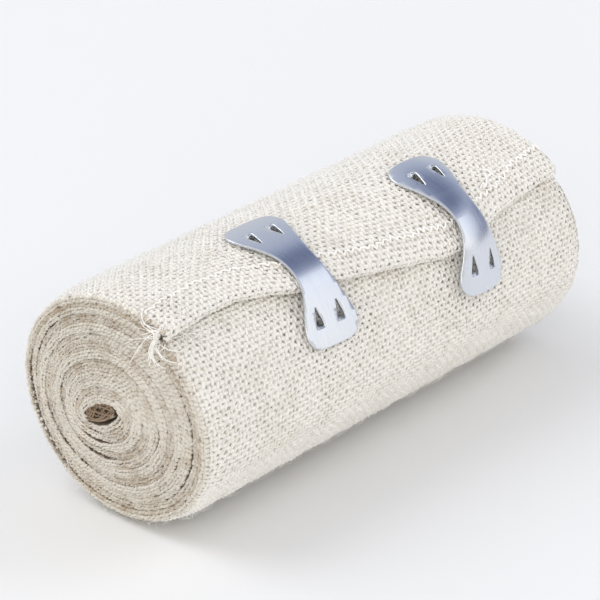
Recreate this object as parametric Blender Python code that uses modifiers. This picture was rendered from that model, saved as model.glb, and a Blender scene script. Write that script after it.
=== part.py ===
"""Crepe bandage roll held shut by two barbed clips, in metres, +Z up, resting on z = 0.

The roll lies along X. An angle round it is measured from the front (-Y) over the top (+Z),
so 90 degrees is the top and 180 degrees the back (+Y).
"""
import bpy
import bmesh
import math
from mathutils import Vector

MM = 0.001

# The strip of cloth and how it is wound.
CLOTH_WIDTH = 100 * MM
RIM_FLARE = 0.6 * MM
HALF_LENGTH = CLOTH_WIDTH / 2 - RIM_FLARE
TURNS = 11.5
STEPS_PER_TURN = 30
GAP_BETWEEN_TURNS = 0.2 * MM
OUTER_HALF_WIDTH = 22.0 * MM
OUTER_HALF_HEIGHT = 20.0 * MM
EYE_HALF_LENGTH = 3.8 * MM
EYE_HALF_HEIGHT = 1.1 * MM
EYE_TILT = math.radians(25)
EYE_SHIFT_Y = 4.3 * MM
EYE_SHIFT_Z = -1.9 * MM
AXIS_Y = 0.09 * MM
FLAT_SPOT_DEPTH = 0.2 * MM
UNDERSIDE_DEGREES = range(240, 301)
FLOOR_BLOCK_HEIGHT = 4 * MM
FLOOR_BLOCK_LENGTH = 150 * MM

# The rims are drawn in, and the turns stand a little in and out at the ends.
RIM_SCALE = 0.955
SHOULDER_SCALE = 0.984
SHOULDER_INSET = 1.4 * MM
DRAWN_IN_LENGTH = 5 * MM
SELVEDGE_THINNING = 0.8
TELESCOPE = 0.35 * MM
TELESCOPE_WAVES = 0.37

# The loose end: where its edge lies round the roll at each place along it.
LOOSE_EDGE = (
    # x in mm, angle in degrees
    (-50.0, 60.5),
    (-40.0, 62.8),
    (-33.0, 62.8),
    (-27.0, 59.0),
    (-21.0, 53.2),
    (-8.0, 47.8),
    (4.0, 41.6),
    (16.0, 35.2),
    (29.0, 43.0),
    (40.0, 46.5),
    (50.0, 48.0),
)
LOOSE_EDGE_MEAN = math.radians(48)
STRAIGHTENED_BY = 0.25
OUTER_TURNS = 1.25
MIDDLE_CUTS = 11
HEM_ROWS = (0.0, 0.016, 0.033, 0.046)
HEM_WIDTH = 4.5 * MM
HEM_RAMP = 1.8 * MM
HEM_EXTRA = (
    # x in mm, extra thickness of the folded hem in mm
    (-50.0, 1.0),
    (-44.0, 0.8),
    (-36.0, 0.55),
    (38.0, 0.5),
    (44.0, 0.25),
    (50.0, 0.1),
)

# The two clips: bent plates with four barbs each.
CLIP_LENGTH = 30 * MM
CLIP_THICKNESS = 0.5 * MM
CLIP_CLEARANCE = 0.6 * MM
CLIPS = (
    # name, x of the middle in mm, angle of the middle in degrees, slant in degrees
    ("clip_near", -17.2, 56.5, 2.5),
    ("clip_far", 21.0, 45.5, 3.5),
)
CLIP_OUTLINE = (
    # distance from the middle along the clip and half width, in mm
    (0.0, 3.3),
    (3.3, 3.55),
    (6.0, 4.4),
    (8.4, 5.25),
    (10.7, 6.15),
    (12.3, 6.3),
    (13.8, 5.7),
    (14.6, 4.7),
    (15.0, 3.2),
)
CLIP_BENDS = 16
CLIP_REACH = 7 * MM
UNDER_CLIPS_DEGREES = range(-20, 131)
HOLE_BASE_FROM_END = 3.5 * MM
HOLE_LENGTH = 4.2 * MM
HOLE_HALF_WIDTH = 1.1 * MM
HOLE_FROM_MIDDLE = 2.6 * MM
CORNERS = ((-1, -1), (-1, 1), (1, -1), (1, 1))
BARB_DEPTH = 2.2 * MM
BARB_LEAN = 0.9 * MM
BARB_THICKNESS = 0.45 * MM
BARB_ROOT_HALF_WIDTH = 0.95 * MM
BARB_TIP_HALF_WIDTH = 0.35 * MM
BARB_OVERLAP = 0.2 * MM
BARB_ROOT_HEIGHT = 0.15 * MM
POCKET_CLEARANCE = 0.3 * MM


def lerp(a, b, t):
    return a + (b - a) * t


def read_table(table, key):
    """Straight-line reading of a two-column table at one key."""
    if key <= table[0][0]:
        return table[0][1]
    for (k0, v0), (k1, v1) in zip(table, table[1:]):
        if key <= k1:
            return lerp(v0, v1, (key - k0) / (k1 - k0))
    return table[-1][1]


def eye_point(angle):
    """A point on the slot at the heart of the roll, from the slot's own middle."""
    along = EYE_HALF_LENGTH * math.cos(angle - EYE_TILT)
    across = EYE_HALF_HEIGHT * math.sin(angle - EYE_TILT)
    y = -along * math.cos(EYE_TILT) + across * math.sin(EYE_TILT)
    z = along * math.sin(EYE_TILT) + across * math.cos(EYE_TILT)
    return y, z


def wound(turn, angle):
    """Inner face of the cloth, turn 0 at the loose end, from the roll's axis."""
    depth = turn / TURNS
    eye_y, eye_z = eye_point(angle)
    y = lerp(-OUTER_HALF_WIDTH * math.cos(angle), eye_y + EYE_SHIFT_Y, depth)
    z = lerp(OUTER_HALF_HEIGHT * math.sin(angle), eye_z + EYE_SHIFT_Z, depth)
    return Vector((0, y, z))


def turn_angle(turn):
    return LOOSE_EDGE_MEAN + turn * 2 * math.pi


def outward(turn, angle):
    """Outward normal of the winding at one place, across its section."""
    step = 0.01
    ahead = wound(turn, angle + step)
    behind = wound(turn, angle - step)
    tangent = (ahead - behind).normalized()
    return Vector((0, -tangent.z, tangent.y))


def cloth_thickness(turn, angle):
    """What one turn fills of the room up to the turn over it."""
    room = (wound(turn - 1, angle) - wound(turn, angle)).dot(outward(turn, angle))
    return room - GAP_BETWEEN_TURNS


def hem_rise(x, turn):
    """Extra thickness of the folded hem, which ends a little way round from the loose edge."""
    distance = turn * 2 * math.pi * OUTER_HALF_WIDTH
    fade = 1 - (distance - HEM_WIDTH) / HEM_RAMP
    return read_table(HEM_EXTRA, x / MM) * MM * min(1.0, max(0.0, fade))


def loose_shift(x, turn):
    """How far the loose end's wave turns the cloth at this place, in radians."""
    edge = math.radians(read_table(LOOSE_EDGE, x / MM))
    return (edge - LOOSE_EDGE_MEAN) * max(0.0, 1 - turn / STRAIGHTENED_BY)


def rim_scale(x):
    """Narrowing of the whole section near the two ends."""
    inset = HALF_LENGTH - abs(x)
    if inset >= DRAWN_IN_LENGTH:
        return 1.0
    if inset >= SHOULDER_INSET:
        return lerp(SHOULDER_SCALE, 1.0, (inset - SHOULDER_INSET) / (DRAWN_IN_LENGTH - SHOULDER_INSET))
    return lerp(RIM_SCALE, SHOULDER_SCALE, inset / SHOULDER_INSET)


def new_collection(name):
    collection = bpy.data.collections.new(name)
    bpy.context.scene.collection.children.link(collection)
    return collection


def make_material(name, colour, roughness, metallic):
    material = bpy.data.materials.new(name)
    material.use_nodes = True
    shader = material.node_tree.nodes["Principled BSDF"]
    shader.inputs["Base Color"].default_value = (*colour, 1.0)
    shader.inputs["Roughness"].default_value = roughness
    shader.inputs["Metallic"].default_value = metallic
    return material


def add_object(name, bm, collection, material=None):
    mesh = bpy.data.meshes.new(name)
    bm.to_mesh(mesh)
    bm.free()
    obj = bpy.data.objects.new(name, mesh)
    collection.objects.link(obj)
    if material:
        mesh.materials.append(material)
    return obj


def outer_face(x, angle):
    """Outer face of the cloth at an angle round the roll, without the drawn-in rims."""
    edge = math.radians(read_table(LOOSE_EDGE, x / MM))
    turn = (angle - edge) / (2 * math.pi)
    under_loose_end = turn < 0
    if under_loose_end:
        turn += 1
    rise = 0.0 if under_loose_end else hem_rise(x, turn)
    return wound(turn, angle) + outward(turn, angle) * (cloth_thickness(turn, angle) + rise)


def axis_height():
    """Height of the roll's axis when its flat spot lies on z = 0."""
    lowest = min(outer_face(0, math.radians(degree)).z for degree in UNDERSIDE_DEGREES)
    return -lowest - FLAT_SPOT_DEPTH


AXIS_HEIGHT = axis_height()


def wind(vert, layer):
    """Moves one point of the flat strip, x along the roll and y in turns, to its wound place."""
    x = vert.co.x
    turn = vert.co.y
    angle = turn_angle(turn) + loose_shift(x, turn)
    thickness = cloth_thickness(turn, angle)
    total = thickness + hem_rise(x, turn)
    place = wound(turn, angle)
    if HALF_LENGTH - abs(x) < SHOULDER_INSET / 2:
        place += outward(turn, angle) * thickness * (1 - SELVEDGE_THINNING) / 2
        total *= SELVEDGE_THINNING
        x += math.copysign(TELESCOPE, x) * math.sin(turn * TELESCOPE_WAVES * 2 * math.pi)
    scale = rim_scale(vert.co.x)
    vert.co = (x, place.y * scale + AXIS_Y, place.z * scale + AXIS_HEIGHT)
    vert[layer] = total * scale


def flat_strip():
    """The strip unrolled: x along the roll, y in turns, finer over its outermost turn."""
    steps = int(TURNS * STEPS_PER_TURN)
    rows = list(HEM_ROWS) + [i / STEPS_PER_TURN for i in range(2, steps + 1)]
    columns = [-HALF_LENGTH, DRAWN_IN_LENGTH - HALF_LENGTH]
    columns += [-x for x in reversed(columns)]
    bm = bmesh.new()
    bmesh.ops.create_grid(bm, x_segments=3, y_segments=len(rows) - 1, size=1.0)
    for vert in bm.verts:
        column = round((vert.co.x + 1) / 2 * 3)
        row = round((vert.co.y + 1) / 2 * (len(rows) - 1))
        vert.co = (columns[column], rows[row], 0)
    outer = [e for e in bm.edges if e.verts[0].co.y == e.verts[1].co.y and e.verts[0].co.y < OUTER_TURNS]
    middle = [e for e in outer if abs(e.verts[0].co.x + e.verts[1].co.x) < MM]
    shoulders = [e for e in outer if abs(e.verts[0].co.x + e.verts[1].co.x) > MM]
    bmesh.ops.subdivide_edges(bm, edges=middle, cuts=MIDDLE_CUTS, use_grid_fill=True)
    cut = bmesh.ops.subdivide_edges(bm, edges=shoulders, cuts=1, use_grid_fill=True)
    for vert in (v for v in cut["geom_inner"] if isinstance(v, bmesh.types.BMVert)):
        vert.co.x = math.copysign(HALF_LENGTH - SHOULDER_INSET, vert.co.x)
    return bm


def build_bandage(collection, material):
    """The inner face of the cloth as an open strip, wound, then thickened outwards."""
    bm = flat_strip()
    layer = bm.verts.layers.float.new("thickness")
    for vert in bm.verts:
        wind(vert, layer)
    bmesh.ops.recalc_face_normals(bm, faces=bm.faces)
    thicknesses = [vert[layer] for vert in bm.verts]
    bandage = add_object("bandage", bm, collection, material)
    group = bandage.vertex_groups.new(name="thickness")
    for index, thickness in enumerate(thicknesses):
        group.add([index], thickness / max(thicknesses), "REPLACE")
    shell = bandage.modifiers.new("cloth", "SOLIDIFY")
    shell.thickness = max(thicknesses)
    shell.offset = 1.0
    shell.vertex_group = group.name
    return bandage


def combine(obj, tool, operation):
    """A Boolean modifier with a helper object, which is then hidden as a guide."""
    modifier = obj.modifiers.new(tool.name, "BOOLEAN")
    modifier.operation = operation
    modifier.object = tool
    tool.hide_render = True
    tool.display_type = "WIRE"


def build_floor_cutter(collection):
    """A block under z = 0 that leaves the roll its small flat spot."""
    bm = bmesh.new()
    bmesh.ops.create_cube(bm, size=1.0)
    size = (FLOOR_BLOCK_LENGTH, OUTER_HALF_WIDTH, FLOOR_BLOCK_HEIGHT)
    bmesh.ops.scale(bm, verts=bm.verts, vec=size)
    bmesh.ops.translate(bm, verts=bm.verts, vec=(0, 0, -FLOOR_BLOCK_HEIGHT / 2))
    return add_object("floor_cutter", bm, collection)


def taut_path(x, clearance):
    """The line that a plate takes over the cloth's section, bridging its hollows, front to back."""
    samples = []
    for degree in UNDER_CLIPS_DEGREES:
        angle = math.radians(degree)
        faces = [outer_face(x + side * CLIP_REACH, angle) for side in (-1, -0.5, 0, 0.5, 1)]
        highest = max(faces, key=lambda face: face.length)
        samples.append(highest + clearance * Vector((0, -math.cos(angle), math.sin(angle))))
    hull = []
    for point in samples:
        while len(hull) > 1:
            before = hull[-1] - hull[-2]
            after = point - hull[-1]
            if before.y * after.z - before.z * after.y < 0:
                break
            hull.pop()
        hull.append(point)
    return hull


def walk(path, distance):
    """The point and direction at a distance along a path of straight runs."""
    for start, end in zip(path, path[1:]):
        run = (end - start).length
        if distance <= run:
            return start.lerp(end, distance / run), (end - start).normalized()
        distance -= run
    raise ValueError("the path is too short")


def distance_to_angle(path, angle):
    """How far along a path the given angle round the roll is passed."""
    distance = 0.0
    for start, end in zip(path, path[1:]):
        if math.atan2(end.z, -end.y) >= angle:
            return distance
        distance += (end - start).length
    raise ValueError("the path is too short")


def clip_placer(x_middle, angle_middle, slant):
    """Returns the move from a flat clip, x across and y along, to its bent place on the roll.

    A point with an anchor keeps its straight place beside the anchor, which alone follows the bend.
    """
    path = taut_path(x_middle, CLIP_CLEARANCE + CLIP_THICKNESS / 2)
    middle = distance_to_angle(path, angle_middle)

    def run(point):
        return point.y * math.cos(slant) - point.x * math.sin(slant)

    def place(point, anchor=None):
        anchor = anchor or point
        across = point.x * math.cos(slant) + point.y * math.sin(slant)
        base, direction = walk(path, middle + run(anchor))
        normal = Vector((0, -direction.z, direction.y))
        bent = base + direction * (run(point) - run(anchor)) + normal * point.z
        return Vector((x_middle + across, bent.y + AXIS_Y, bent.z + AXIS_HEIGHT))

    return place


def clip_rim():
    """The closed outline of a flat clip: four mirrored quarters of CLIP_OUTLINE."""
    quarter = [(width * MM, along * MM) for along, width in CLIP_OUTLINE]
    left_up = [(-w, a) for w, a in reversed(quarter)]
    left_down = [(-w, -a) for w, a in quarter[1:]]
    right_down = [(w, -a) for w, a in reversed(quarter[1:])]
    return quarter + left_up + left_down + right_down


def hole_corners(side, end):
    """One triangular hole, its base towards the clip's end and its tip towards the waist."""
    base = end * (CLIP_LENGTH / 2 - HOLE_BASE_FROM_END)
    tip = base - end * HOLE_LENGTH
    middle = side * HOLE_FROM_MIDDLE
    return [(middle - HOLE_HALF_WIDTH, base), (middle + HOLE_HALF_WIDTH, base), (middle, tip)]


def flat_plate(outlines, thickness):
    """A plate of the given outlines, the first its rim and the rest its holes, as a bmesh."""
    curve = bpy.data.curves.new("plate", "CURVE")
    curve.dimensions = "2D"
    curve.fill_mode = "BOTH"
    curve.extrude = thickness / 2
    for outline in outlines:
        spline = curve.splines.new("POLY")
        spline.points.add(len(outline) - 1)
        for point, (x, y) in zip(spline.points, outline):
            point.co = (x, y, 0, 1)
        spline.use_cyclic_u = True
    holder = bpy.data.objects.new("plate", curve)
    bpy.context.scene.collection.objects.link(holder)
    graph = bpy.context.evaluated_depsgraph_get()
    mesh = bpy.data.meshes.new_from_object(holder.evaluated_get(graph))
    bm = bmesh.new()
    bm.from_mesh(mesh)
    bmesh.ops.remove_doubles(bm, verts=bm.verts, dist=0.01 * MM)
    bpy.data.objects.remove(holder)
    return bm


def slice_along(bm, count):
    """Cuts a flat clip across at even steps, so that it can bend."""
    for i in range(1, count):
        y = lerp(-CLIP_LENGTH / 2, CLIP_LENGTH / 2, i / count)
        geometry = list(bm.verts) + list(bm.edges) + list(bm.faces)
        bmesh.ops.bisect_plane(bm, geom=geometry, plane_co=(0, y, 0), plane_no=(0, 1, 0), dist=0.001 * MM)


def add_barb(bm, place, side, end, spread):
    """A barb as a tapering tongue bent down from its hole's base; spread widens it to a pocket."""
    base = end * (CLIP_LENGTH / 2 - HOLE_BASE_FROM_END)
    anchor = Vector((side * HOLE_FROM_MIDDLE, base, 0))
    for vert in bmesh.ops.create_cube(bm, size=1.0)["verts"]:
        at_tip = vert.co.z < 0
        inwards = BARB_THICKNESS + spread if vert.co.y * end < 0 else -BARB_OVERLAP - spread
        half_width = (BARB_TIP_HALF_WIDTH if at_tip else BARB_ROOT_HALF_WIDTH) + spread
        x = side * HOLE_FROM_MIDDLE + math.copysign(half_width, vert.co.x)
        y = base - end * (inwards + (BARB_LEAN if at_tip else 0.0))
        z = -BARB_DEPTH - spread if at_tip else BARB_ROOT_HEIGHT
        vert.co = place(Vector((x, y, z)), anchor)


def build_clip(name, place, collection, material):
    """One clip's plate with its four holes, bent to its place."""
    holes = [hole_corners(side, end) for side, end in CORNERS]
    bm = flat_plate([clip_rim()] + holes, CLIP_THICKNESS)
    slice_along(bm, CLIP_BENDS)
    for vert in bm.verts:
        vert.co = place(vert.co)
    return add_object(name, bm, collection, material)


def build_barbs(name, place, spread, collection):
    """A clip's four barbs, or with a spread the room that they need in the cloth."""
    bm = bmesh.new()
    for side, end in CORNERS:
        add_barb(bm, place, side, end, spread)
    bmesh.ops.recalc_face_normals(bm, faces=bm.faces)
    return add_object(name, bm, collection)


def main():
    for obj in list(bpy.data.objects):
        bpy.data.objects.remove(obj)
    parts = new_collection("crepe_bandage_roll")
    cutters = new_collection("cutters")
    cotton = make_material("cotton crepe", (0.80, 0.74, 0.64), 0.9, 0.0)
    aluminium = make_material("aluminium", (0.80, 0.81, 0.83), 0.3, 1.0)
    bandage = build_bandage(parts, cotton)
    combine(bandage, build_floor_cutter(cutters), "DIFFERENCE")
    for name, x, angle, slant in CLIPS:
        place = clip_placer(x * MM, math.radians(angle), math.radians(slant))
        clip = build_clip(name, place, parts, aluminium)
        combine(clip, build_barbs(name + "_barbs", place, 0.0, cutters), "UNION")
        combine(bandage, build_barbs(name + "_pockets", place, POCKET_CLEARANCE, cutters), "DIFFERENCE")


main()
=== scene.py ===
"""The looks of a crepe bandage roll with two clips, laid out as a Blender add-on and run as a script.

The roll lies along X. An angle round it is measured from the front (-Y) over the top (+Z).
A turn is counted along the cloth: 0 at the loose end's edge, 1 one full turn further in.
"""
import bmesh
import bpy
import math
import numpy as np
from bpy.props import FloatProperty, FloatVectorProperty, IntProperty, PointerProperty
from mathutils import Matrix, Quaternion, Vector


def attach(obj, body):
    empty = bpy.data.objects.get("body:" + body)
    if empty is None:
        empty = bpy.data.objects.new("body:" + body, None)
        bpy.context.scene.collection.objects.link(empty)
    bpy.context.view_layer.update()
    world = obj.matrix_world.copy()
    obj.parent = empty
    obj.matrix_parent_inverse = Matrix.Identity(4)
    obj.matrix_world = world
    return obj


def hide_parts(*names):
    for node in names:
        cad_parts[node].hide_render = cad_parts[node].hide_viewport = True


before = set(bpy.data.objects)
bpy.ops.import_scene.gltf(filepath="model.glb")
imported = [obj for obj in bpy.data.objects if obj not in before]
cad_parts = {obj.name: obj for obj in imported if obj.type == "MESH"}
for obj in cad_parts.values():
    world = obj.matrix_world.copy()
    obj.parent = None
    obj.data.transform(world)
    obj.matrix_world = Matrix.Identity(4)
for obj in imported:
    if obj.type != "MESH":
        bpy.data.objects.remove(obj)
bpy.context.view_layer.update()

bl_info = {
    "name": "Crepe Bandage Roll",
    "version": (1, 0, 0),
    "blender": (4, 5, 0),
    "location": "View3D > Sidebar > Bandage",
    "description": "Woven cloth, selvedges, sewing, clips and stage of a crepe bandage roll",
    "category": "Add Mesh",
}

MM = 0.001
FULL_TURN = 2 * math.pi

# The winding, as in the solid it replaces.
CLOTH_WIDTH = 100 * MM
TURNS = 11.5
STEPS_PER_TURN = 48
GAP_BETWEEN_TURNS = 0.2 * MM
OUTER_HALF_WIDTH = 22.0 * MM
TURN_LENGTH = FULL_TURN * OUTER_HALF_WIDTH
OUTER_HALF_HEIGHT = 20.0 * MM
EYE_HALF_LENGTH = 3.8 * MM
EYE_HALF_HEIGHT = 1.1 * MM
EYE_TILT = math.radians(25)
EYE_SHIFT = (4.3 * MM, -1.9 * MM)
AXIS_Y = 0.09 * MM
AXIS_HEIGHT = 20.55 * MM
DRAWN_IN = (
    # distance from the rim in mm, scale of the section
    (0, 0.955), (0.6, 0.970), (1.5, 0.982), (3, 0.993), (5.5, 1),
)

# The loose end's edge: x in mm and angle in degrees.
LOOSE_EDGE = (
    (-50, 60.5), (-40, 62.8), (-33, 62.8), (-27, 59), (-21, 53.2), (-8, 47.8), (4, 41.6),
    (16, 35.2), (29, 43), (40, 46.5), (50, 48),
)
LOOSE_EDGE_MEAN = math.radians(48)
STRAIGHTENED_BY = 0.25
HEM_WIDTH = 4.5 * MM
HEM_RAMP = 1.8 * MM
HEM_TUCK = 3.4 * MM
HEM_EXTRA = (
    # x in mm, extra thickness of the folded hem in mm
    (-50, 1), (-44, 0.8), (-36, 0.55), (38, 0.5), (44, 0.25), (50, 0.1),
)
LAST_OUTER_TURN = 1.045

# The seam: x in mm and distance from the loose edge in mm.
SEAM_LINE = (
    (-50, 5.5), (-25, 5.2), (-10, 3.6), (-4, 3), (11, 3.6), (32, 2.8), (40, 4.4), (50, 5),
)
STITCHES = 118
SEAM_LENGTH = 98.6

# The two clips: bent plates with four barbs each.
CLIPS = (
    # name, solid, x of the middle in mm, angle of the middle in degrees, slant in degrees,
    # crown across it in mm, fall to the right of its lower part
    ("near_clip", "clip_near", -17.2, 56.5, 2.5, 0.05, 0.0),
    ("far_clip", "clip_far", 21.0, 45.5, 3.5, 0.8, 0.09),
)
CLIP_LENGTH = 30 * MM
CLIP_OUTLINE = (
    # distance from the middle along the clip and half width, in mm
    (0, 3.3), (3.3, 3.55), (6, 4.4), (8.4, 5.25), (10.7, 6.15), (12.3, 6.3), (13.8, 5.7),
    (14.6, 4.7), (15, 3.2),
)
CLIP_CLEARANCE = 0.6 * MM
CLIP_REACH = 7 * MM
HOLE_BASE = CLIP_LENGTH / 2 - 3.5 * MM
HOLE_LENGTH = 4.2 * MM
HOLE_HALF_WIDTH = 1.1 * MM
HOLE_FROM_MIDDLE = 2.6 * MM
CLIP_THICKNESS = 0.5 * MM
BARB_PLACES = ((-1, -1), (-1, 1), (1, -1), (1, 1))
BARB_BEND = 0.7 * MM
BARB_DEPTH = 2.4 * MM
BARB_ANGLE = math.radians(80)
BARB_BENT_SHARE = 0.4
BARB_THICKNESS = 0.4 * MM
EDGE_ROUNDING = 0.12 * MM
DENT_DEPTH = 0.9 * MM
DENT_SPREAD = 1.6 * MM
BASE_DENT_SPREAD = 5.0 * MM
PATH_STEP = 0.25 * MM
PATH_SMOOTHING = 22

# Wider gaps that show on the ends: from turn, to turn, extra width in mm.
WIDE_GAPS = (
    (0.26, 0.62, 0.9), (0.76, 0.99, 0.3), (1.70, 2.02, 0.35), (5.66, 6.30, 0.6), (6.50, 6.72, 0.35),
    (7.50, 7.72, 0.4), (8.50, 8.74, 0.4), (9.50, 9.74, 0.35),
)

# Frayed threads by the loose end's near corner: how many, x from and to in mm, distance from the
# edge from and to in mm, way they run and its spread in degrees, length from and to in mm.
FRAY_GROUPS = (
    (18, (-50.4, -49.0), (-0.9, 0.6), 180, 32, (2.5, 6.5)),
    (12, (-50.0, -46.0), (-0.6, 0.6), -35, 30, (3.0, 8.0)),
    (12, (-50.4, -49.0), (-1.5, 1.0), 220, 50, (2.0, 4.5)),
    (8, (-50.0, -44.0), (-0.5, 3.0), 0, 180, (2.0, 4.0)),
)

# Yarns.
ENDS = 110
WOVEN_SHARE = 0.995
PICKS = 138
YARN_WAVE = 0.2 * MM
YARN_LAYER = 0.42 * MM
YARN_SLANT = 0.13 * MM
RIM_START = 49.35 * MM
RIM_RADIUS = 0.55 * MM
GROUND_DEPTH = 0.21 * MM
SELVEDGE_ROWS = (
    # height as a share of a turn's thickness, how far it stands out in mm, how much darker it is painted as
    # shade in the gap
    (0.22, -0.34, 0), (0.62, -0.28, 0), (1, -0.4, 0.1),
)
CORE_HALF_HEIGHT = 1.6 * MM
CORE_STRANDS = 72
# No point is lower than this, and straight tubes start this far apart, before they are laid out.
LOWEST = 0.02 * MM
STRANDS_APART = 4
# Reference direction for threads on the ends: along x, but never quite parallel to one.
NEARLY_ALONG = np.array([1, 0.01, 0.02])

# The stage.
CAMERA_AZIMUTH = -48.37
CAMERA_ELEVATION = 26.85
CAMERA_TARGET_HEIGHT = 22.3 * MM
CAMERA_DISTANCE = 557 * MM
CAMERA_LENS = 188.1
CAMERA_ASIDE = 2.4 * MM
CAMERA_RAISED = 0.28 * MM
# The side light is in two parts: the clips mirror only the panel, so that it doesn't burn out.
LIGHTS = (
    # name, place, width, height, roll in degrees, watts, colour, whether the clips mirror it
    ("window", (-0.5, 1.0, 1.4), 1.2, 1.2, 0, 12.2, "#F5F8FF", True),
    ("side_panel", (0.88, -0.78, 0.62), 0.75, 1.2, -38, 1.6, "#FFFFFF", True),
    ("side_fill", (0.9, -0.65, 0.75), 0.5, 1.0, -38, 3.1, "#FFFFFF", False),
    ("front_fill", (-1.1, -0.8, 0.5), 1.0, 1.0, 0, 5.5, "#FFFBF5", True),
)
# The room is bright all round but for two dim patches, which the clips mirror: each a direction
# and its colours by the cosine of the angle from it.
DIM_PATCHES = (
    ((0.667, 0.06, 0.743), (
        (0.5, "#F4F2EE"), (0.8, "#F0F3FA"), (0.93, "#CFD7EA"), (0.975, "#9FAAC9"), (0.995, "#6A7598"))),
    ((0.93, -0.33, 0.2), ((0.88, "#FFFFFF"), (0.965, "#A2A9C2"))),
)


def linear(hex_colour):
    """A hex sRGB colour as linear red, green and blue."""
    channels = [int(hex_colour[i:i + 2], 16) / 255 for i in (1, 3, 5)]
    return tuple(c / 12.92 if c <= 0.04045 else ((c + 0.055) / 1.055) ** 2.4 for c in channels)


def table_value(table, keys):
    """Straight-line reading of a two-column table at an array of keys."""
    columns = np.array(table)
    return np.interp(keys, columns[:, 0], columns[:, 1])


def eye_place(along, across):
    """A place in the eye's slot, as y and z from the roll's axis."""
    y = across * math.sin(EYE_TILT) - along * math.cos(EYE_TILT) + EYE_SHIFT[0]
    z = along * math.sin(EYE_TILT) + across * math.cos(EYE_TILT) + EYE_SHIFT[1]
    return y, z


def wound(turn, angle):
    """Inner face of the cloth from the roll's axis, as y and z."""
    depth = turn / TURNS
    eye_y, eye_z = eye_place(EYE_HALF_LENGTH * np.cos(angle - EYE_TILT),
                             EYE_HALF_HEIGHT * np.sin(angle - EYE_TILT))
    y = -OUTER_HALF_WIDTH * np.cos(angle) * (1 - depth) + eye_y * depth
    z = OUTER_HALF_HEIGHT * np.sin(angle) * (1 - depth) + eye_z * depth
    return np.stack([y, z], -1)


def outward(turn, angle):
    """Unit normal of the winding across its section."""
    step = 0.01
    tangent = wound(turn, angle + step) - wound(turn, angle - step)
    tangent /= np.linalg.norm(tangent, axis=-1, keepdims=True)
    return np.stack([-tangent[..., 1], tangent[..., 0]], -1)


def extra_gap(turn):
    """Extra room under the cloth at a turn, beyond the even gap."""
    total = np.zeros_like(turn)
    for start, end, width in WIDE_GAPS:
        t = np.clip((turn - start) / (end - start), 0, 1)
        total += width * MM * np.sin(np.pi * t) ** 2
    return total


def inner_face(turn, angle):
    lift = extra_gap(turn) / 2
    return wound(turn, angle) + outward(turn, angle) * lift[..., None]


def thickness(turn, angle):
    """Thickness of one turn: its room less the gaps over and under it."""
    room = ((wound(turn - 1, angle) - wound(turn, angle)) * outward(turn, angle)).sum(-1)
    return room - GAP_BETWEEN_TURNS - extra_gap(turn) / 2 - extra_gap(turn - 1) / 2


def hem_rise(x, turn):
    """Extra thickness of the folded hem."""
    distance = turn * TURN_LENGTH
    return table_value(HEM_EXTRA, x / MM) * MM * np.clip(1 - (distance - HEM_WIDTH) / HEM_RAMP, 0, 1)


def loose_angle(x, turn):
    """Angle round the roll of a place on the cloth, with the loose end's wave in it."""
    spread = np.array([-3, -1.5, 0, 1.5, 3])
    edge = sum(table_value(LOOSE_EDGE, x / MM + offset) for offset in spread) / len(spread)
    wave = np.radians(edge) - LOOSE_EDGE_MEAN
    return LOOSE_EDGE_MEAN + turn * FULL_TURN + wave * np.clip(1 - turn / STRAIGHTENED_BY, 0, 1)


def rim_scale(x):
    inset = (CLOTH_WIDTH / 2 - np.abs(x)) / MM
    return table_value(DRAWN_IN, inset)


def place_section(x, section):
    """Puts section points, y and z from the axis, at x along the roll, with the drawn-in rims."""
    scale = rim_scale(x)[..., None]
    y = section[..., 0:1] * scale + AXIS_Y
    z = section[..., 1:2] * scale + AXIS_HEIGHT
    return np.concatenate([x[..., None], y, z], -1)


def crepe(x, turn):
    """The crinkle of crepe cloth: how far its yarns stray along x, along the turn and in height."""
    u = x / MM
    v = turn * TURN_LENGTH / MM
    sway = 0.15 * np.sin(0.31 * u + 0.9 * np.sin(0.17 * v)) + 0.09 * np.sin(1.13 * v + 0.5 * u)
    drift = 0.15 * np.sin(0.37 * v + 1.1 * np.sin(0.23 * u)) + 0.08 * np.sin(0.9 * u - 0.6 * v)
    rise = 0.05 * np.sin(0.8 * u + 1.3 * np.sin(0.5 * v)) + 0.04 * np.sin(1.7 * v + 0.9 * u)
    return sway * MM, drift * MM / TURN_LENGTH, rise * MM


def dent(x, angle, spots, spread):
    """How deep the clips press the cloth at a place, from 0 to 1."""
    depth = np.zeros_like(x)
    for spot_x, spot_angle in spots:
        aside = (x - spot_x) / spread
        along = (np.remainder(angle - spot_angle + np.pi, FULL_TURN) - np.pi) * OUTER_HALF_WIDTH / spread
        depth = np.maximum(depth, np.exp(-(aside ** 2 + along ** 2)))
    return depth


def barb_spots():
    """Where the clips' barbs go into the cloth, as x and angle."""
    spots = []
    for _, _, x_middle, angle, slant, _, _ in CLIPS:
        slant = math.radians(slant)
        for side, end in BARB_PLACES:
            across = side * HOLE_FROM_MIDDLE
            along = end * (HOLE_BASE - HOLE_LENGTH * 0.45)
            x = x_middle * MM + across * math.cos(slant) + along * math.sin(slant)
            run = along * math.cos(slant) - across * math.sin(slant)
            spots.append((x, math.radians(angle) + run / OUTER_HALF_WIDTH))
    return spots


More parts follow.
